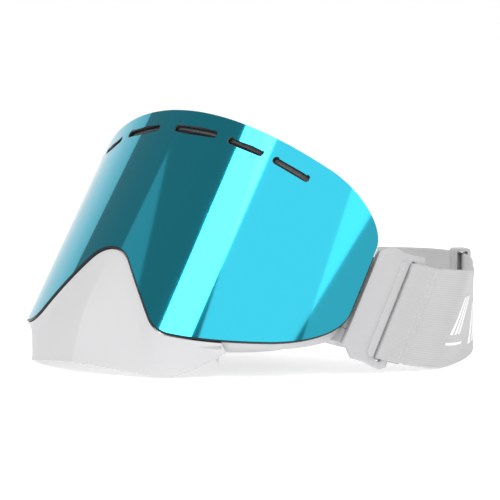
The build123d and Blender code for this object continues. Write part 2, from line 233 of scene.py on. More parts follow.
# mirror coating
coating = {
    "colour": (0.02, 0.42, 0.56, 1), "roughness": (0.045, 0.075), "coat": 0.35, "coatRoughness": 0.03, "smudge": 55.0,
}


def mirrorMaterial(name):
    # an even metal coating, so what shows in it is whatever stands round it
    material, shader = newMaterial(name)
    smudge = addNode(material, "ShaderNodeTexNoise", {"Vector": objectPlace(material), "Scale": coating["smudge"]})
    low, high = coating["roughness"]
    gloss = addNode(material, "ShaderNodeMapRange", {"Value": smudge.outputs["Fac"], "To Min": low, "To Max": high})
    join(material, gloss.outputs["Result"], shader.inputs["Roughness"])
    shader.inputs["Base Color"].default_value = coating["colour"]
    shader.inputs["Metallic"].default_value = 1.0
    shader.inputs["Coat Weight"].default_value = coating["coat"]
    shader.inputs["Coat Roughness"].default_value = coating["coatRoughness"]
    return material


def clearMaterial(name, colour, roughness, alpha):
    material, shader = newMaterial(name)
    smudge = addNode(material, "ShaderNodeTexNoise", {"Vector": objectPlace(material), "Scale": 30.0})
    gloss = addNode(
        material, "ShaderNodeMapRange",
        {"Value": smudge.outputs["Fac"], "To Min": roughness * 0.7, "To Max": roughness * 1.3},
    )
    join(material, gloss.outputs["Result"], shader.inputs["Roughness"])
    shader.inputs["Base Color"].default_value = colour
    shader.inputs["Alpha"].default_value = alpha
    return material


finishes = {
    "mirror": mirrorMaterial("mirrorCoating"),
    "lensBack": mouldedMaterial("lensBack", (0.012, 0.03, 0.045, 1), 0.14, 0.8 * mm, 0.002 * mm),
    # painted highlight and painted shade: one clear lens edge, as a near-white copy for the upper rim and a near-black
    # copy for the lower rim and the vent slot rims
    "paintedHighlightEdge": mouldedMaterial("lensPaintedHighlightEdge", linear(236, 246, 248), 0.2, 0.6 * mm, 0.004 * mm, 0.98),
    "paintedShadeEdge": mouldedMaterial("lensPaintedShadeEdge", (0.004, 0.006, 0.008, 1), 0.35, 0.6 * mm, 0.004 * mm),
    "clear": clearMaterial("clearSheet", (0.8, 0.88, 0.9, 1), 0.06, 0.16),
    "frame": mouldedMaterial("frameRubber", linear(203, 203, 204), 0.52, 0.35 * mm, 0.02 * mm),
    "guard": mouldedMaterial("guardRubber", linear(213, 213, 214), 0.50, 0.35 * mm, 0.02 * mm, 0.96),
    "outrigger": mouldedMaterial("outriggerPlastic", linear(197, 197, 198), 0.42, 0.3 * mm, 0.015 * mm),
    "slider": mouldedMaterial("sliderPlastic", linear(188, 188, 189), 0.4, 0.4 * mm, 0.02 * mm),
    "carrier": mouldedMaterial("carrierPlastic", (0.012, 0.013, 0.015, 1), 0.4, 0.4 * mm, 0.015 * mm),
    "seal": foamMaterial("sealFoam", (0.16, 0.165, 0.17, 1), 0.5 * mm, 0.15 * mm),
    "steel": mouldedMaterial("pinSteel", (0.55, 0.56, 0.57, 1), 0.3, 0.2 * mm, 0.004 * mm, 0.95, 1.0),
    "ventFoam": foamMaterial("ventFoam", (0.12, 0.122, 0.125, 1), 1.1 * mm, 0.5 * mm),
    "baseFoam": foamMaterial("baseFoam", (0.36, 0.362, 0.365, 1), 0.7 * mm, 0.2 * mm),
    "coreFoam": foamMaterial("coreFoam", (0.46, 0.462, 0.465, 1), 0.9 * mm, 0.3 * mm),
    "fleece": fleeceMaterial("brushedFleece", (0.34, 0.342, 0.345, 1)),
    "webbing": webbingMaterial("elasticWebbing"),
    "print": mouldedMaterial("whitePrint", (0.93, 0.93, 0.93, 1), 0.4, 0.3 * mm, 0.01 * mm, 0.98),
    "grip": mouldedMaterial("siliconeGrip", (0.62, 0.63, 0.64, 1), 0.25, 0.5 * mm, 0.01 * mm),
    "thread": mouldedMaterial("stitchThread", linear(214, 214, 214), 0.7, 0.15 * mm, 0.03 * mm),
}
print("materials made")


# ---- mesh helpers
def newPiece(name, points, faces, material, smooth=True):
    mesh = bpy.data.meshes.new(name)
    mesh.from_pydata([tuple(p) for p in points], [], faces)
    piece = bpy.data.objects.new(name, mesh)
    scene.collection.objects.link(piece)
    mesh.materials.append(material)
    mesh.shade_smooth() if smooth else mesh.shade_flat()
    return piece


def faceOutwards(piece):
    shape = bmesh.new()
    shape.from_mesh(piece.data)
    bmesh.ops.recalc_face_normals(shape, faces=shape.faces)
    shape.to_mesh(piece.data)
    shape.free()


def finishModifiers(piece):
    # the evaluated shape becomes the piece's own mesh
    evaluated = piece.evaluated_get(bpy.context.evaluated_depsgraph_get())
    mesh = bpy.data.meshes.new_from_object(evaluated)
    piece.modifiers.clear()
    old = piece.data
    piece.data = mesh
    bpy.data.meshes.remove(old)


def sharpenOver(piece, degreesLimit):
    piece.data.set_sharp_from_angle(angle=radians(degreesLimit))


def bevelled(piece, width, segments=2, limit=35):
    bevel = piece.modifiers.new("edges", "BEVEL")
    bevel.width = width
    bevel.segments = segments
    bevel.limit_method = "ANGLE"
    bevel.angle_limit = radians(limit)
    bevel.use_clamp_overlap = True
    finishModifiers(piece)


def softened(node, name, material, body, width=0.35 * mm):
    # a CAD node's shape with its edges broken
    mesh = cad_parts[node].data.copy()
    mesh.name = name
    mesh.materials.clear()
    mesh.materials.append(material)
    piece = bpy.data.objects.new(name, mesh)
    scene.collection.objects.link(piece)
    shape = bmesh.new()
    shape.from_mesh(mesh)
    bmesh.ops.remove_doubles(shape, verts=shape.verts, dist=0.002 * mm)
    bmesh.ops.dissolve_limit(shape, angle_limit=radians(0.6), verts=shape.verts, edges=shape.edges)
    shape.to_mesh(mesh)
    shape.free()
    if mesh.has_custom_normals:
        mesh.attributes.remove(mesh.attributes["custom_normal"])
    mesh.shade_smooth()
    if width:
        bevelled(piece, width)
    sharpenOver(piece, 30)
    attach(piece, body)
    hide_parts(node)
    return piece


def tube(name, rows, material, closedAlong, closedRound=True):
    # rows of points joined into a skin, capped at its ends where it isn't closed along
    count, points, faces = len(rows[0]), [p for row in rows for p in row], []
    total = len(rows) if closedAlong else len(rows) - 1
    turns = count if closedRound else count - 1
    for i in range(total):
        j = (i + 1) % len(rows)
        for k in range(turns):
            m = (k + 1) % count
            faces.append((i * count + k, i * count + m, j * count + m, j * count + k))
    if not closedAlong and closedRound:
        faces.append(tuple(range(count)))
        faces.append(tuple(range((len(rows) - 1) * count, len(rows) * count)))
    piece = newPiece(name, points, faces, material)
    faceOutwards(piece)
    return piece


# ---- lens outline
def arcTo(points, end, heading, step=0.8):
    # an arc from the last point, leaving along heading, to end; returns the heading it arrives with
    start, end = np.array(points[-1]), np.array(end, float)
    chord = end - start
    side = np.array([-heading[1], heading[0]])
    if side @ chord < 0:
        side = -side
    radius = (chord @ chord) / (2 * (chord @ side))
    centre = start + side * radius
    half = atan2(abs(heading[0] * chord[1] - heading[1] * chord[0]), heading @ chord)
    count = max(2, int(2 * half * radius / step))
    for i in range(1, count + 1):
        turn = 2 * half * i / count
        points.append(tuple(centre - side * radius * cos(turn) + heading * radius * sin(turn)))
    unit = chord / np.linalg.norm(chord)
    return 2 * (unit @ heading) * unit - heading


def halfOutline():
    points = [lensShape["top"]]
    heading = arcTo(points, lensShape["shoulder"], np.array([1.0, 0.0]))
    arcTo(points, lensShape["sideTop"], heading)
    points.append(lensShape["sideBottom"])
    heading = arcTo(points, lensShape["corner"], np.array([0.0, -1.0]))
    heading = arcTo(points, lensShape["lobe"], heading)
    arcTo(points, lensShape["flank"], heading)
    points.append(lensShape["nose"])
    flank = np.array(lensShape["nose"]) - np.array(lensShape["flank"])
    arcTo(points, lensShape["nosePeak"], flank / np.linalg.norm(flank))
    return points


def resample(points, count):
    # the closed line through points, cut into count equal steps
    line = np.array(points + points[:1])
    lengths = np.concatenate([[0], np.cumsum(np.linalg.norm(np.diff(line, axis=0), axis=1))])
    at = np.linspace(0, lengths[-1], count, endpoint=False)
    return np.stack([np.interp(at, lengths, line[:, axis]) for axis in (0, 1)], axis=1)


rightHalf = halfOutline()
wholeOutline = rightHalf + [(-x, z) for x, z in rightHalf[-2:0:-1]]
lensRadius = lensAxis["radius"]
# angle round the lens axis in radians, height in metres
lensLoop = resample(
    [(asin(x * mm / lensRadius) * lensRadius, z * mm) for x, z in wholeOutline], lensShape["outlinePoints"]
)
lensLoop = np.stack([lensLoop[:, 0] / lensRadius, lensLoop[:, 1]], axis=1)


def loopAt(radius, inset):
    # the outline on a cylinder of this radius, moved inwards; points that would cross are spread out
    flat = np.stack([lensLoop[:, 0] * radius, lensLoop[:, 1]], axis=1)
    along = np.roll(flat, -2, axis=0) - np.roll(flat, 2, axis=0)
    along /= np.linalg.norm(along, axis=1)[:, None]
    inward = np.stack([along[:, 1], -along[:, 0]], axis=1)
    moved = flat + inward * inset
    if inset > 0:
        gap = np.sqrt(((moved[:, None, :] - flat[None, :, :]) ** 2).sum(axis=2)).min(axis=1)
        good = gap > inset * 0.985
        places = np.arange(len(flat))
        moved = np.stack([
            np.interp(places, places[good], moved[good, axis], period=len(flat)) for axis in (0, 1)
        ], axis=1)
        for _ in range(6):
            moved = (np.roll(moved, 1, axis=0) + 2 * moved + np.roll(moved, -1, axis=0)) / 4
    return [(a / radius, z) for a, z in moved]


def ring(name, profile, material, every=1):
    # profile holds radius and inset pairs, going once round the ring's section
    loops = [loopAt(radius, inset)[::every] for radius, inset in profile]
    rows = []
    for i in range(len(loops[0])):
        rows.append([onLens(loop[i][0], loop[i][1], radius) for loop, (radius, _) in zip(loops, profile)])
    return tube(name, rows, material, closedAlong=True)


# ---- outer lens
lens = {
    "wall": 1.8 * mm,
    "slots": [(5.1, 27.0), (33.5, 49.8), (55.0, 71.5)],
    "slotHeight": 2.3 * mm,
    "slotDrop": 9.4,
    "slotFollow": 0.85,
    "gridAround": 2.0 * mm,
    "gridUp": 4.0 * mm,
    "edgeBreak": 0.55 * mm,
    # the lens rim above this height takes the painted highlight edge, and below it the painted shade edge
    "paintedHighlightAbove": -33.0 * mm,
}


def slotOutline(start, end, side):
    middle, length = (start + end) / 2 * mm, (end - start) * mm
    drop = lensShape["top"][1] - lensShape["shoulder"][1]
    topRadius = (lensShape["shoulder"][0] ** 2 + drop ** 2) / (2 * drop) * mm
    slope = lensRadius * sin(middle / lensRadius) / topRadius
    up = (lensShape["top"][1] - lens["slotDrop"]) * mm - topRadius * (1 - cos(slope))
    turn, half = -side * slope * lens["slotFollow"], lens["slotHeight"] / 2
    outline = []
    for centre, first in ((length / 2 - half, -90), (half - length / 2, 90)):
        for step in range(9):
            angle = radians(first + 22.5 * step)
            x, z = centre + half * cos(angle), half * sin(angle)
            outline.append((side * middle + x * cos(turn) - z * sin(turn), up + x * sin(turn) + z * cos(turn)))
    return outline


def insideOutline(x, z, outline):
    inside = False
    for (x1, z1), (x2, z2) in zip(outline, outline[1:] + outline[:1]):
        if (z1 > z) != (z2 > z) and x < (x2 - x1) * (z - z1) / (z2 - z1) + x1:
            inside = not inside
    return inside


def buildLens():
    outline = [(a * lensRadius, z) for a, z in lensLoop]
    slots = [slotOutline(start, end, side) for start, end in lens["slots"] for side in (1, -1)]
    points, edges = [], []
    for line in [outline] + slots:
        first = len(points)
        points += line
        edges += [(first + i, first + (i + 1) % len(line)) for i in range(len(line))]
    widest, lowest = max(x for x, _ in outline), min(z for _, z in outline)
    acrossCount, upCount = int(widest / lens["gridAround"]), int((points[0][1] - lowest) / lens["gridUp"])
    for i in range(-acrossCount, acrossCount + 1):
        for j in range(1, upCount + 1):
            x, z = i * lens["gridAround"], points[0][1] - j * lens["gridUp"]
            near = min((x - p[0]) ** 2 + (z - p[1]) ** 2 for p in points[:len(edges)])
            if near > (0.9 * mm) ** 2 and insideOutline(x, z, outline):
                points.append((x, z))
    scale = 1000
    flat, _, faces, _, _, _ = delaunay_2d_cdt([Vector((x * scale, z * scale)) for x, z in points], edges, [], 0, 1e-4)
    flat = [(p.x / scale, p.y / scale) for p in flat]
    kept = []
    for face in faces:
        x, z = sum(flat[i][0] for i in face) / 3, sum(flat[i][1] for i in face) / 3
        if insideOutline(x, z, outline) and not any(insideOutline(x, z, slot) for slot in slots):
            kept.append(tuple(face))
    piece = newPiece("mirror_lens", [onLens(x / lensRadius, z, lensRadius) for x, z in flat], kept, finishes["mirror"])
    shape = bmesh.new()
    shape.from_mesh(piece.data)
    bmesh.ops.delete(shape, geom=[v for v in shape.verts if not v.link_faces], context="VERTS")
    for face in shape.faces:
        if face.normal.y > 0:
            face.normal_flip()
    shape.to_mesh(piece.data)
    shape.free()
    for material in ("lensBack", "paintedHighlightEdge", "paintedShadeEdge"):
        piece.data.materials.append(finishes[material])
    wall = piece.modifiers.new("wall", "SOLIDIFY")
    wall.thickness, wall.offset = lens["wall"], -1
    wall.material_offset, wall.material_offset_rim = 1, 2
    finishModifiers(piece)
    bevelled(piece, lens["edgeBreak"], 2, 50)
    mesh = piece.data
    uv = mesh.uv_layers.new(name="lensPlace")
    for face in mesh.polygons:
        x, back, up = toLens(face.center)
        if face.material_index == 0 and face.normal.dot(lensNormal(x, back)) < 0.94:
            face.material_index = 2
        # painted shade: the rim below this height and round the vent slots takes the near-black edge; the rest of the
        # rim keeps the near-white painted highlight edge
        if face.material_index == 2 and (up < lens["paintedHighlightAbove"] or not nearOutline(x, back, up)):
            face.material_index = 3
        for corner in face.loop_indices:
            x, back, up = toLens(mesh.vertices[mesh.loops[corner].vertex_index].co)
            uv.data[corner].uv = (atan2(x, -back) * lensRadius, up)
    sharpenOver(piece, 28)
    # the mirrored face takes the cylinder's own normals, so that reflections run true up to its edges
    normals = [Vector(corner.vector) for corner in mesh.corner_normals]
    for face in mesh.polygons:
        if face.material_index == 0:
            for corner in face.loop_indices:
                x, back, _ = toLens(mesh.vertices[mesh.loops[corner].vertex_index].co)
                normals[corner] = lensNormal(x, back)
    mesh.normals_split_custom_set(normals)
    return piece


def lensNormal(x, back):
    # straight out from the lens axis
    return (fromLens(x, back, 0) - fromLens(0, 0, 0)).normalized()


def nearOutline(x, back, up):
    # false at the rims of the vent slots
    at = np.array([atan2(x, -back) * lensRadius, up])
    return np.min(np.hypot(lensLoop[:, 0] * lensRadius - at[0], lensLoop[:, 1] - at[1])) < 1.2 * mm


mirrorLens = buildLens()
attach(mirrorLens, "lens")
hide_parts("outer_lens")
print("outer lens built")

# ---- the CAD nodes that keep their shape
kept = {
    "inner_lens": "clear", "lens_spacer": "seal", "lens_carrier": "carrier", "lens_magnets": "steel",
    "frame_magnets": "steel", "hinge_pin_left": "steel", "hinge_pin_right": "steel", "vent_foam_top": "ventFoam",
    "vent_foam_low_left": "ventFoam", "vent_foam_low_right": "ventFoam",
}
for node, finish in kept.items():
    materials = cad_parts[node].data.materials
    materials.clear()
    materials.append(finishes[finish])

softened("frame", "frame_shell", finishes["frame"], "frame", 0.3 * mm)
for hand in ("left", "right"):
    softened(
        f"outrigger_{hand}", f"outrigger_arm_{hand}", finishes["outrigger"],
        f"outrigger_{hand}", 0.4 * mm,
    )
    softened(
        f"strap_slider_{hand}", f"slider_loop_{hand}", finishes["slider"],
        f"slider_{hand}", 0.4 * mm,
    )
print("frame, outriggers and sliders softened")

# ---- nose guard
guard = {
    "topRadius": 95.1 * mm,
    "topGap": 0.5 * mm,
    "lip": 2.6 * mm,
    "wall": 1.9 * mm,
    "columns": 44,
    "rows": 16,
    "ridge": 4.6 * mm,
    "ridgeReach": 34 * mm,
    "cornerSwell": 0.8 * mm,
    # distance along the lens's lower edge from its peak, and the rim's point under it, in mm
    "stations": [
        (0, (0, -110.6, 4.4)), (12, (14, -107.6, 3.4)), (28, (28, -103.8, 2.0)), (41, (37.5, -100.2, 1.0)),
        (52, (43.2, -95.4, 0.7)), (60, (47.4, -89.2, 2.6)), (68, (51.4, -83.6, 6.0)), (77, (56.0, -78.4, 9.6)),
    ],
}


def smoothThrough(values, at):
    # a smooth line through evenly numbered values, read at any place between them
    index = min(int(at), len(values) - 2)
    t = at - index
    p = [np.array(values[max(0, min(len(values) - 1, index + k))], float) for k in (-1, 0, 1, 2)]
    return 0.5 * (2 * p[1] + (p[2] - p[0]) * t + (2 * p[0] - 5 * p[1] + 4 * p[2] - p[3]) * t * t
                  + (3 * p[1] - p[0] - 3 * p[2] + p[3]) * t ** 3)


def buildGuard():
    loop = loopAt(guard["topRadius"], -guard["topGap"])
    half = loop[:len(loop) // 2 + 1][::-1]
    edge = np.array([(a * guard["topRadius"], z) for a, z in half])
    lengths = np.concatenate([[0], np.cumsum(np.linalg.norm(np.diff(edge, axis=0), axis=1))])
    stations = guard["stations"]
    columns = []
    for i in range(guard["columns"] + 1):
        at = (len(stations) - 1) * i / guard["columns"]
        length = float(smoothThrough([(s,) for s, _ in stations], at)[0]) * mm
        around, up = (float(np.interp(length, lengths, edge[:, axis])) for axis in (0, 1))
        if i == 0:
            around = 0.0
        rim = smoothThrough([p for _, p in stations], at) * mm
        top = onLens(around / guard["topRadius"], up, guard["topRadius"])
        lip = onLens(around / guard["topRadius"], up, guard["topRadius"] - guard["lip"])
        outward = Vector((sin(around / lensRadius) * 0.8, -1.0, -0.25)).normalized()
        share = i / guard["columns"]
        swell = guard["ridge"] * max(0, 1 - length / guard["ridgeReach"]) + guard["cornerSwell"] * sin(pi * share) ** 2
        column = [lip]
        for j in range(guard["rows"] + 1):
            v = j / guard["rows"]
            column.append(top.lerp(Vector(rim), v) + outward * swell * sin(pi * v) ** 1.2)
        columns.append(column)
    mirrored = [[Vector((-p.x, p.y, p.z)) for p in column] for column in columns[:0:-1]]
    piece = tube("nose_guard_shell", mirrored + columns, finishes["guard"], closedAlong=False, closedRound=False)
    shape = bmesh.new()
    shape.from_mesh(piece.data)
    shape.faces.ensure_lookup_table()
    front = max(shape.faces, key=lambda face: -face.calc_center_median().y)
    if front.normal.y > 0:
        bmesh.ops.reverse_faces(shape, faces=shape.faces)
    shape.to_mesh(piece.data)
    shape.free()
    wall = piece.modifiers.new("wall", "SOLIDIFY")
    wall.thickness, wall.offset = guard["wall"], -1
    wall.use_even_offset = True
    finishModifiers(piece)
    bevelled(piece, 0.45 * mm, 2, 50)
    smoothing = piece.modifiers.new("round", "SUBSURF")
    smoothing.levels = smoothing.render_levels = 1
    finishModifiers(piece)
    return piece


noseGuard = buildGuard()
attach(noseGuard, "nose_guard")
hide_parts("nose_guard")
print("nose guard built")

# ---- face foam, in three glued layers
foam = {
    "baseFront": 80.45 * mm, "baseBack": 77.5 * mm, "coreBack": 71.5 * mm, "fleeceBack": 70.2 * mm,
    "baseInset": 2.0 * mm, "coreInset": 3.2 * mm, "fleeceInset": 4.2 * mm, "opening": 13.2 * mm,
    "voxel": 2.6 * mm, "pressure": 4.0, "mostSwell": 1.1 * mm, "frames": 20,
}


def roundedSection(front, back, outer, inner, crown):
    # a section that bulges a little at its sides and is rounded towards the back
    middle = (front + back) / 2
    return [
        (front, outer + crown * 0.3), (middle, outer - crown * 0.3), (back + crown, outer + crown * 0.15),
        (back + crown * 0.3, outer + crown * 0.6), (back, outer + crown * 1.6), (back, (outer + inner) / 2),
        (back, inner - crown * 1.6), (back + crown * 0.3, inner - crown * 0.6), (back + crown, inner - crown * 0.15),
        (middle, inner + crown * 0.2), (front, inner - crown * 0.3),
    ]


def inflate(piece):
    # remeshed and puffed up as cloth, then held within a cap so that it stays clear of its neighbours
    remesh = piece.modifiers.new("grid", "REMESH")
    remesh.mode, remesh.voxel_size = "VOXEL", foam["voxel"]
    finishModifiers(piece)
    count = len(piece.data.vertices)
    rest = np.empty(count * 3)
    piece.data.vertices.foreach_get("co", rest)
    cloth = piece.modifiers.new("puff", "CLOTH")
    cloth.settings.use_pressure = True
    cloth.settings.uniform_pressure_force = foam["pressure"]
    cloth.settings.effector_weights.gravity = 0
    scene.frame_start, scene.frame_end = 1, foam["frames"]
    for number in range(1, foam["frames"] + 1):
        scene.frame_set(number)
    finishModifiers(piece)
    scene.frame_set(1)
    swelled = np.empty(count * 3)
    piece.data.vertices.foreach_get("co", swelled)
    move = (swelled - rest).reshape(-1, 3)
    far = np.linalg.norm(move, axis=1)
    move *= np.minimum(1, foam["mostSwell"] / np.maximum(far, 1e-9))[:, None]
    piece.data.vertices.foreach_set("co", (rest.reshape(-1, 3) + move).ravel())
    smoothing = piece.modifiers.new("even", "SMOOTH")
    smoothing.factor, smoothing.iterations = 0.5, 3
    finishModifiers(piece)
    divide = piece.modifiers.new("fine", "SUBSURF")
    divide.levels = divide.render_levels = 1
    finishModifiers(piece)
    piece.data.shade_smooth()


foamBase = ring(
    "face_foam_base",
    roundedSection(foam["baseFront"], foam["baseBack"], foam["baseInset"], foam["opening"] - 0.4 * mm, 0.5 * mm),
    finishes["baseFoam"], 2,
)
foamCore = ring(
    "face_foam_core",
    roundedSection(
        foam["baseBack"] - 0.5 * mm, foam["coreBack"] + 0.7 * mm,
        foam["coreInset"] + 0.6 * mm, foam["opening"] - 0.7 * mm, 0.8 * mm,
    ),
    finishes["coreFoam"], 2,
)
inflate(foamCore)
fleeceLayer = ring(
    "face_fleece",
    roundedSection(
        foam["coreBack"] + 0.5 * mm, foam["fleeceBack"],
        foam["fleeceInset"] - 0.4 * mm, foam["opening"] + 0.5 * mm, 0.5 * mm,
    ),
    finishes["fleece"],
)
for piece, node, slotName in (
    (foamBase, "foam_base", "firm_foam"), (foamCore, "foam_core", "soft_foam"), (fleeceLayer, "foam_fleece", "fleece"),
):
    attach(piece, "frame")
    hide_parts(node)
print("face foam made")

# ---- strap: its two edges, from the right outrigger's loop round to the left one's
strap = {
    "hinge": (81.28, -36.5), "splay": radians(15.0), "loopOut": 6.25, "loopBack": 28.2, "loopUp": (-65.3, -20.5),
    # sideways, backwards from the lens origin, lower edge, upper edge, slant, in mm
    "stations": [
        (98.0, -18.0, 0.3, 39.8, 20.0), (91.5, -2.0, -0.15, 39.0, 12.0), (81.5, 15.0, -0.2, 38.6, 5.0),
        (69.5, 32.0, 0.2, 38.9, 0.0), (53.0, 52.0, 1.9, 40.3, 0.0), (34.0, 70.0, 2.5, 40.8, 0.0),
        (15.0, 82.0, 2.5, 40.8, 0.0), (0.0, 86.0, 2.5, 40.8, 0.0),
    ],
    "wall": 1.5 * mm, "edgeGap": 0.3 * mm, "layerGap": 0.3 * mm, "sliderStation": 6, "steps": 14, "welt": 1.6 * mm,
}


def sidePlace(out, back, up):
    # outwards from the right hinge axis, backwards along the arm and up the lens axis, in mm
    splay = strap["splay"]
    x = strap["hinge"][0] + out * cos(splay) + back * sin(splay)
    y = strap["hinge"][1] - out * sin(splay) + back * cos(splay)
    return fromLens(x * mm, y * mm, up * mm)


lowEdge, topEdge = ([sidePlace(strap["loopOut"], strap["loopBack"], up)] for up in strap["loopUp"])
for x, y, low, high, slant in strap["stations"]:
    lowEdge.append(Vector((x * mm, lensAxis["originY"] + (y - slant / 2) * mm, low * mm)))
    topEdge.append(Vector((x * mm, lensAxis["originY"] + (y + slant / 2) * mm, high * mm)))
lowEdge += [Vector((-p.x, p.y, p.z)) for p in lowEdge[-2::-1]]
topEdge += [Vector((-p.x, p.y, p.z)) for p in topEdge[-2::-1]]
strapEnd = len(lowEdge) - 1


def strapFrame(station):
    # low and top points, and the way towards the head, at a place along the strap
    low, top = Vector(smoothThrough(lowEdge, station)), Vector(smoothThrough(topEdge, station))
    before, after = max(station - 0.02, 0), min(station + 0.02, strapEnd)
    along = Vector(smoothThrough(lowEdge, after) - smoothThrough(lowEdge, before))
    inward = along.cross(top - low).normalized()
    middle = (low + top) / 2
    if inward.dot(Vector((middle.x, middle.y - lensAxis["originY"], 0))) > 0:
        inward = -inward
    return low, top, inward


def strapPoint(station, up, inward):
    # a point up the strap from its middle, and off its outer layer's middle towards the head
    low, top, way = strapFrame(station)
    return (low + top) / 2 + (top - low).normalized() * up + way * inward


def strapHalfWidth(station):
    low, top, _ = strapFrame(station)
    return (top - low).length / 2 - strap["edgeGap"]


def strapStations(hand, first, last, steps):
    # places from first to last, counted from this hand's own end
    count = max(2, int(round((last - first) * steps)))
    own = [first + (last - first) * i / count for i in range(count + 1)]
    return [(s, s if hand == "right" else strapEnd - s) for s in own]


def layerShift(hand, own):
    if hand == "right":
        return 0.0
    return (strap["layerGap"] + strap["wall"]) * min(1, max(0, own - strap["sliderStation"] + 1.5))


def strapLengths(places):
    lengths, last = [0.0], None
    for _, station in places:
        point = strapPoint(station, 0, 0)
        if last is not None:
            lengths.append(lengths[-1] + (point - last).length)
        last = point
    return lengths


def webbingUv(piece, alongs, acrosses):
    # u and v in metres, from the rows and columns that the band was made of
    uv = piece.data.uv_layers.new(name="weave")
    rowLength = len(acrosses)
    for face in piece.data.polygons:
        for corner in face.loop_indices:
            vertex = piece.data.loops[corner].vertex_index
            uv.data[corner].uv = (alongs[vertex // rowLength], acrosses[vertex % rowLength])


def bandSection(half, thick):
    # a flat band's section with rolled selvedges: distance up and distance off its middle
    welt, thin = strap["welt"], thick * 0.42
    outer = [
        (-half, 0), (-half + 0.25 * mm, thin * 0.8), (-half + 0.7 * mm, thick / 2), (-half + welt, thick / 2 * 0.96),
    ]
    flat = [(-half + welt + (2 * half - 2 * welt) * k / 7, thick / 2 * 0.96) for k in range(1, 7)]
    upper = outer + flat + [(-u, w) for u, w in outer[::-1]]
    return upper + [(u, -w) for u, w in upper[-2:0:-1]]


def buildStrap(hand):
    places = strapStations(hand, 0, strapEnd - strap["sliderStation"], strap["steps"])
    rows, section = [], None
    for own, station in places:
        section = bandSection(strapHalfWidth(station), strap["wall"])
        shift = layerShift(hand, own)
        rows.append([strapPoint(station, up, shift - off) for up, off in section])
    piece = tube(f"strap_band_{hand}", rows, finishes["webbing"], closedAlong=False)
    webbingUv(piece, strapLengths(places), [up for up, _ in section])
    sharpenOver(piece, 60)
    return piece


def followStrap(piece):
    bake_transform(piece)


for hand in ("right", "left"):
    band = buildStrap(hand)
    followStrap(band)
    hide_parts(f"strap_{hand}")
print("strap halves built")


# ---- the sewn ends that go through the outriggers
loops = {
    "start": 15.6, "end": 28.2, "low": -69.1, "high": -24.9, "rise": 4.1,
    "wall": 1.45 * mm, "turnOut": 6.25, "turnIn": 2.5,
}


def buildLoop(hand):
    side = 1 if hand == "right" else -1
    places = [("outer", t) for t in np.linspace(loops["end"], loops["start"] + 1.2, 12)]
    reach = (loops["turnOut"] - loops["turnIn"]) / 2
    places += [("turn", t) for t in np.linspace(0, pi, 12)[1:-1]]
    places += [("inner", t) for t in np.linspace(loops["start"] + 1.2, loops["end"], 12)]
    rows, alongs, travelled = [], [], 0.0
    for kind, t in places:
        if kind == "turn":
            out, back = (loops["turnOut"] + loops["turnIn"]) / 2 + reach * cos(t), loops["start"] + 1.2 - 1.1 * sin(t)
            across = (cos(t), -sin(t))
        else:
            out, back = loops["turnOut" if kind == "outer" else "turnIn"], t
            across = (1, 0) if kind == "outer" else (-1, 0)
        lift = loops["rise"] * max(0, (back - loops["start"]) / (loops["end"] - loops["start"]))
        half = (loops["high"] - loops["low"]) / 2 - 0.3
        row = []
        for up, off in bandSection(half * mm, loops["wall"]):
            spot = sidePlace(
                out + across[0] * off / mm,
                back + across[1] * off / mm,
                (loops["high"] + loops["low"]) / 2 + lift + up / mm,
            )
            row.append(Vector((side * spot.x, spot.y, spot.z)))
        rows.append(row)
        alongs.append(travelled)
        travelled += 1.1 * mm
    piece = tube(f"strap_end_{hand}", rows, finishes["webbing"], closedAlong=False)
    webbingUv(piece, alongs, [up for up, _ in bandSection(half * mm, loops["wall"])])
    sharpenOver(piece, 60)
    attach(piece, f"outrigger_{hand}")
    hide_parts(f"strap_loop_{hand}")


for hand in ("right", "left"):
    buildLoop(hand)
print("sewn ends built")


# ---- white print and silicone grip lines, laid on the strap halves
def layOnStrap(name, hand, strips, material, face):
    # each strip is a list of (own station, low, high) in mm from the strap's middle; face is 1 outside, -1 inside
    points, faces = [], []
    for strip in strips:
        first = len(points)
        for own, low, high in strip:
            station = own if hand == "right" else strapEnd - own
            shift = layerShift(hand, own)
            for up, height in ((low, 0.0), (high, 0.0), (high, 0.16), (low, 0.16)):
                off = face * (strap["wall"] / 2 * 0.96 - 0.02 * mm + height * mm)
                points.append(strapPoint(station, up * mm, shift - off))
        for i in range(len(strip) - 1):
            base, following = first + 4 * i, first + 4 * (i + 1)
            for k in range(4):
                m = (k + 1) % 4
                faces.append((base + k, base + m, following + m, following + k))
        faces.append((first, first + 1, first + 2, first + 3))
        end = first + 4 * (len(strip) - 1)
        faces.append((end, end + 1, end + 2, end + 3))
    piece = newPiece(name, points, faces, material, smooth=False)
    faceOutwards(piece)
    followStrap(piece)
    return piece


prints = {
    # own station where it starts, its length, its lower and upper edge in mm, and how far its top leans back
    "bars": [
        (1.12, 0.16, -7.0, 9.0, 0.36), (1.40, 0.16, -7.0, 9.0, 0.36), (1.68, 0.16, -7.0, 9.0, 0.36),
        (2.9, 0.30, -13.0, 4.0, 0.30),
        (3.45, 0.30, -13.0, 4.0, 0.30),
    ],
    "line": (1.05, 2.15, -11.6, -10.4),
    "gripRows": (-11.0, -5.5, 0.0, 5.5, 11.0),
    "gripSpan": (0.6, 5.2),
}


def slantedBar(start, length, low, high, lean):
    # thin upright slices whose ends follow the slant
    slices, count = [], 26
    total = length + lean
    for i in range(count + 1):
        at = total * i / count
        bottom = low if at <= length else low + (high - low) * (at - length) / lean
        top = high if at >= lean else low + (high - low) * at / lean
        slices.append((start + at, min(bottom, top - 0.01), max(top, bottom + 0.01)))
    return slices


def straightStrip(first, last, low, high, count):
    return [(first + (last - first) * i / count, low, high) for i in range(count + 1)]


def gripWave(row):
    first, last = prints["gripSpan"]
    slices = []
    for i in range(121):
        own = first + (last - first) * i / 120
        middle = row + 0.9 * sin(own * 9)
        slices.append((own, middle - 0.55, middle + 0.55))
    return slices


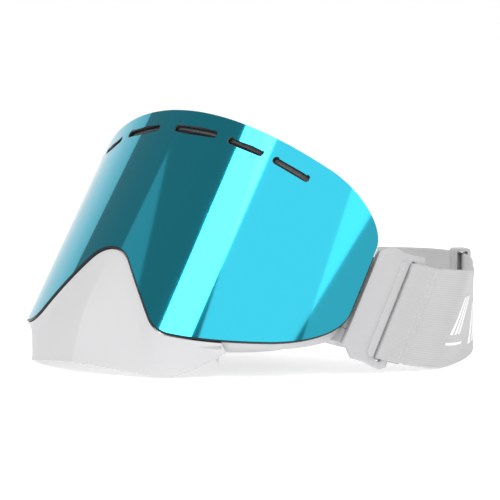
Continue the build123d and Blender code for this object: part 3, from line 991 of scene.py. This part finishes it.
for hand in ("right", "left"):
    bars = [slantedBar(*bar) for bar in prints["bars"]]
    first, last, low, high = prints["line"]
    bars.append(straightStrip(first, last, low, high, 30))
    layOnStrap(f"strap_print_{hand}", hand, bars, finishes["print"], 1)
    waves = [gripWave(row) for row in prints["gripRows"]]
    layOnStrap(f"strap_grip_{hand}", hand, waves, finishes["grip"], -1)
print("print and grip lines laid")

# ---- stitches, set along a line by geometry nodes
stitches = {"pitch": 2.3 * mm, "length": 1.7 * mm, "thick": 0.34 * mm}


def stitchTree():
    tree = bpy.data.node_groups.new("stitchRow", "GeometryNodeTree")
    sockets = {}
    tree.interface.new_socket("Geometry", in_out="INPUT", socket_type="NodeSocketGeometry")
    for label in ("Pitch", "Stitch Length", "Thread"):
        sockets[label] = tree.interface.new_socket(label, in_out="INPUT", socket_type="NodeSocketFloat").identifier
    tree.interface.new_socket("Geometry", in_out="OUTPUT", socket_type="NodeSocketGeometry")
    nodes, links = tree.nodes, tree.links
    start, end = nodes.new("NodeGroupInput"), nodes.new("NodeGroupOutput")
    curve = nodes.new("GeometryNodeMeshToCurve")
    places = nodes.new("GeometryNodeCurveToPoints")
    places.mode = "LENGTH"
    ball = nodes.new("GeometryNodeMeshUVSphere")
    ball.inputs["Segments"].default_value, ball.inputs["Rings"].default_value = 8, 6
    ball.inputs["Radius"].default_value = 0.5
    size = nodes.new("ShaderNodeCombineXYZ")
    copies = nodes.new("GeometryNodeInstanceOnPoints")
    real = nodes.new("GeometryNodeRealizeInstances")
    paint = nodes.new("GeometryNodeSetMaterial")
    paint.inputs["Material"].default_value = finishes["thread"]
    links.new(start.outputs["Geometry"], curve.inputs["Mesh"])
    links.new(curve.outputs["Curve"], places.inputs["Curve"])
    links.new(start.outputs["Pitch"], places.inputs["Length"])
    links.new(start.outputs["Thread"], size.inputs["X"])
    links.new(start.outputs["Thread"], size.inputs["Y"])
    links.new(start.outputs["Stitch Length"], size.inputs["Z"])
    links.new(places.outputs["Points"], copies.inputs["Points"])
    links.new(places.outputs["Rotation"], copies.inputs["Rotation"])
    links.new(ball.outputs["Mesh"], copies.inputs["Instance"])
    links.new(size.outputs["Vector"], copies.inputs["Scale"])
    links.new(copies.outputs["Instances"], real.inputs["Geometry"])
    links.new(real.outputs["Geometry"], paint.inputs["Geometry"])
    links.new(paint.outputs["Geometry"], end.inputs["Geometry"])
    return tree, sockets


stitchNodes, stitchSockets = stitchTree()


def stitchRow(name, lines):
    points, edges = [], []
    for line in lines:
        edges += [(len(points) + i, len(points) + i + 1) for i in range(len(line) - 1)]
        points += [tuple(p) for p in line]
    mesh = bpy.data.meshes.new(name)
    mesh.from_pydata(points, edges, [])
    piece = bpy.data.objects.new(name, mesh)
    scene.collection.objects.link(piece)
    modifier = piece.modifiers.new("stitches", "NODES")
    modifier.node_group = stitchNodes
    for label, value in (("Pitch", "pitch"), ("Stitch Length", "length"), ("Thread", "thick")):
        modifier[stitchSockets[label]] = stitches[value]
    finishModifiers(piece)
    piece.data.shade_smooth()
    return piece


def loopStitches(hand):
    side = 1 if hand == "right" else -1
    lines = []
    for back in (24.6, 26.6):
        lift = loops["rise"] * (back - loops["start"]) / (loops["end"] - loops["start"])
        for out in (loops["turnOut"] + 0.74, loops["turnIn"] - 0.74):
            line = [sidePlace(out, back, up + lift) for up in np.linspace(loops["low"] + 2.4, loops["high"] - 2.4, 16)]
            lines.append([Vector((side * p.x, p.y, p.z)) for p in line])
    piece = stitchRow(f"strap_stitches_{hand}", lines)
    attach(piece, f"outrigger_{hand}")


for hand in ("right", "left"):
    loopStitches(hand)
print("stitches set")

# ---- floor, light and camera
stage = {"halfWidth": 4.0, "front": -3.0, "bend": 2.2, "radius": 1.2, "height": 4.0, "whiteness": 0.9, "glow": 0.5}


def buildStage():
    material, shader = newMaterial("paleStage")
    shader.inputs["Base Color"].default_value = (stage["whiteness"],) * 3 + (1,)
    shader.inputs["Roughness"].default_value = 0.8
    shader.inputs["Specular IOR Level"].default_value = 0.1
    shader.inputs["Emission Color"].default_value = (1, 1, 1, 1)
    shader.inputs["Emission Strength"].default_value = stage["glow"]
    bend, radius = stage["bend"], stage["radius"]
    line = [(stage["front"], 0.0), (bend, 0.0)]
    line += [(bend + radius * sin(radians(a)), radius * (1 - cos(radians(a)))) for a in range(6, 91, 6)]
    line.append((bend + radius, stage["height"]))
    turn = Matrix.Rotation(cameraSetup["azimuth"], 3, "Z")
    points = [turn @ Vector((x, y, z)) for y, z in line for x in (-stage["halfWidth"], stage["halfWidth"])]
    faces = [(2 * i, 2 * i + 1, 2 * i + 3, 2 * i + 2) for i in range(len(line) - 1)]
    piece = newPiece("pale_floor", points, faces, material)


cameraSetup = {
    "place": (592.57 * mm, -635.48 * mm + lensAxis["originY"], 96.38 * mm),
    "azimuth": radians(44.642), "pitch": radians(-3.5),
    "focal": 139.2, "sensor": 36.0,
}
buildStage()
cameraData = bpy.data.cameras.new("camera")
cameraData.lens, cameraData.sensor_width = cameraSetup["focal"], cameraSetup["sensor"]
camera = bpy.data.objects.new("camera", cameraData)
camera.location = cameraSetup["place"]
camera.rotation_euler = (pi / 2 + cameraSetup["pitch"], 0, cameraSetup["azimuth"])
scene.collection.objects.link(camera)
scene.camera = camera

lights = {
    # name: place, size, power, in metres and watts; each looks at the goggles
    "keyAbove": ((0.95, -0.35, 1.45), (2.0, 1.8), 14.0),
    "fillRight": ((1.5, 0.1, 0.9), (0.9, 1.2), 2.0),
    "fillLeft": ((-0.9, -1.2, 0.7), (0.9, 1.2), 0.9),
    "stripFront": ((0.16, -0.88, 1.33), (0.46, 1.2), 9.0),
    "rimBehind": ((-0.4, 1.4, 1.0), (1.4, 0.8), 1.6),
}
for name, (place, size, power) in lights.items():
    data = bpy.data.lights.new(name, "AREA")
    data.shape, data.size, data.size_y, data.energy = "RECTANGLE", size[0], size[1], power
    lamp = bpy.data.objects.new(name, data)
    lamp.location = place
    lamp.rotation_euler = (Vector((0, 0, 0.05)) - Vector(place)).to_track_quat("-Z", "Y").to_euler()
    scene.collection.objects.link(lamp)
world = bpy.data.worlds.new("studio")
world.use_nodes = True
world.node_tree.nodes["Background"].inputs["Color"].default_value = (1, 1, 1, 1)
world.node_tree.nodes["Background"].inputs["Strength"].default_value = 0.3
scene.world = world
scene.view_settings.view_transform = "Standard"
print("stage, lights and camera set")
